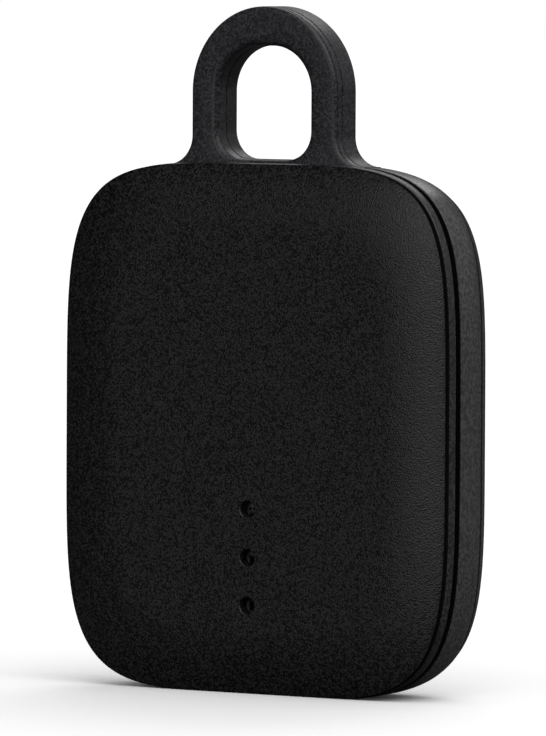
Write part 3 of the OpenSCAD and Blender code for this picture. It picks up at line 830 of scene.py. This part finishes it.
def rear_shell():
    """A deep tray with rolled edges, open at the front and notched at the top for the loop."""
    edge = 0.07
    inner = [ring_at(shell_y, outline(edge)),
             ring_at(shell_y + lead_in_d, outline(shell_wall)),
             ring_at(roll_y, outline(shell_wall))]
    inner += dome(shell_wall, roll_y, shell_in_y - roll_y, cavity_w, cavity_power, steps=14)
    outer = [ring_at(shell_y + edge * down, outline(edge * across))
             for down, across in quarter(4)]
    side_d = back_y - roll_d - shell_y
    side_rows = 12
    for share in (i / side_rows for i in range(1, side_rows)):
        outer.append(ring_at(shell_y + side_d * share, outline(taper_w * share ** taper_power)))
    outer += dome(taper_w, back_y - roll_d, roll_d, roll_w, roll_power)
    piece = loft("shell", list(reversed(inner)) + outer, shell_plastic)
    over = 0.5
    notch_w = 2 * (flare_x + notch_side_gap)
    notch = rounded_rectangle(0, body_h, notch_w, notch_h, notch_r)
    cut(piece, loft("notch", [ring_at(y, notch) for y in (shell_y - over, notch_y)], shell_plastic))
    # Painted shade: the shell's mouth, its lead-in and the inner wall up to the roll, gets the
    # near-black matt material, standing in for its shade
    paint_shade_inside(piece, shell_shade_inset, shell_y, roll_y, painted_shade)
    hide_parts("rear_shell")
    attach(piece, "shell")


front_cover()
press_boss()
mid_frame()
seal_ring()
rear_shell()


# Floor, background and light

def floor_material():
    """Plain pale floor. The camera sees it white, and darker where the object takes its light.
    The object sees it as a dim one, so that its underside stays as dark as it should be."""
    material = bpy.data.materials.new("pale_floor")
    material.use_nodes = True
    tree = material.node_tree
    tree.nodes.clear()
    out = add(material, "ShaderNodeOutputMaterial")
    seen = add(material, "ShaderNodeBsdfDiffuse", {"Color": linear(floor_tone)})
    dim = add(material, "ShaderNodeBsdfDiffuse", {"Color": linear(floor_dim_tone)})
    path = add(material, "ShaderNodeLightPath")
    add(material, "ShaderNodeMixShader",
        links={0: (path, "Is Camera Ray"), 1: (dim, "BSDF"), 2: (seen, "BSDF")},
        into=[("Shader", out, "Surface")])
    return material


def floor():
    """The floor, far larger than the camera sees."""
    size = 4000
    points = [Vector((x * size, y * size, 0)) for x, y in ((-1, -1), (1, -1), (1, 1), (-1, 1))]
    piece = mesh_piece("floor", points, [(0, 1, 2, 3)], floor_material())


def world():
    """A plain studio: the camera sees white, surfaces are lit by an even pale grey, and what is
    glossy reflects a dark room."""
    sky = bpy.data.worlds.new("studio")
    bpy.context.scene.world = sky
    sky.use_nodes = True
    tree = sky.node_tree
    tree.nodes.clear()
    out = add(sky, "ShaderNodeOutputWorld")
    path = add(sky, "ShaderNodeLightPath")
    light, gloss, white = [
        add(sky, "ShaderNodeBackground", {"Color": linear("#ffffff"), "Strength": strength})
        for strength in (room_light, room_gloss, 1.0)
    ]
    shiny = add(sky, "ShaderNodeMath",
                links={0: (path, "Is Glossy Ray"), 1: (path, "Is Transmission Ray")},
                operation="MAXIMUM")
    soft = add(sky, "ShaderNodeMixShader", links={0: (shiny, 0), 1: (light, 0), 2: (gloss, 0)})
    add(sky, "ShaderNodeMixShader", links={0: (path, "Is Camera Ray"), 1: (soft, 0), 2: (white, 0)},
        into=[("Shader", out, "Surface")])


def sun(name, turn_deg, height_deg, width_deg, strength):
    """A far lamp. Its turn goes from the object's front to its right, and its width is the angle
    that a softbox would span."""
    lamp = bpy.data.lights.new(name, "SUN")
    lamp.energy = strength
    lamp.angle = radians(width_deg)
    piece = bpy.data.objects.new(name, lamp)
    bpy.context.scene.collection.objects.link(piece)
    turn, height = radians(turn_deg), radians(height_deg)
    way = Vector((sin(turn) * cos(height), -cos(turn) * cos(height), sin(height)))
    piece.rotation_euler = way.to_track_quat("Z", "Y").to_euler()


def camera():
    """The camera that the photograph's outline gives, with its focal length in pixels."""
    yaw, tilt, roll = radians(32.71), radians(2.8), radians(0.27)
    aim = Vector((1.68, -3.65, 23.37))
    distance = 601.8
    focal_px, long_side_px = 8449, 736
    back = Vector((sin(yaw) * cos(tilt), -cos(yaw) * cos(tilt), sin(tilt)))
    right = Vector((cos(yaw), sin(yaw), 0))
    up = back.cross(right)
    right, up = cos(roll) * right + sin(roll) * up, cos(roll) * up - sin(roll) * right
    data = bpy.data.cameras.new("camera")
    data.sensor_width = 36
    data.lens = focal_px * data.sensor_width / long_side_px
    data.clip_start, data.clip_end = 0.01, 20
    piece = bpy.data.objects.new("camera", data)
    bpy.context.scene.collection.objects.link(piece)
    turn = Matrix((right, up, back)).transposed().to_4x4()
    piece.matrix_world = Matrix.Translation((aim + back * distance) * MM) @ turn
    bpy.context.scene.camera = piece


floor()
world()
sun("front_light", -4, 11, 30, 0.42)
sun("key_light", 60, 50, 60, 1.3)
sun("side_light", 120, 30, 100, 0.5)
sun("rear_light", 200, 45, 40, 0.77)
camera()
bpy.context.scene.view_settings.view_transform = "Standard"
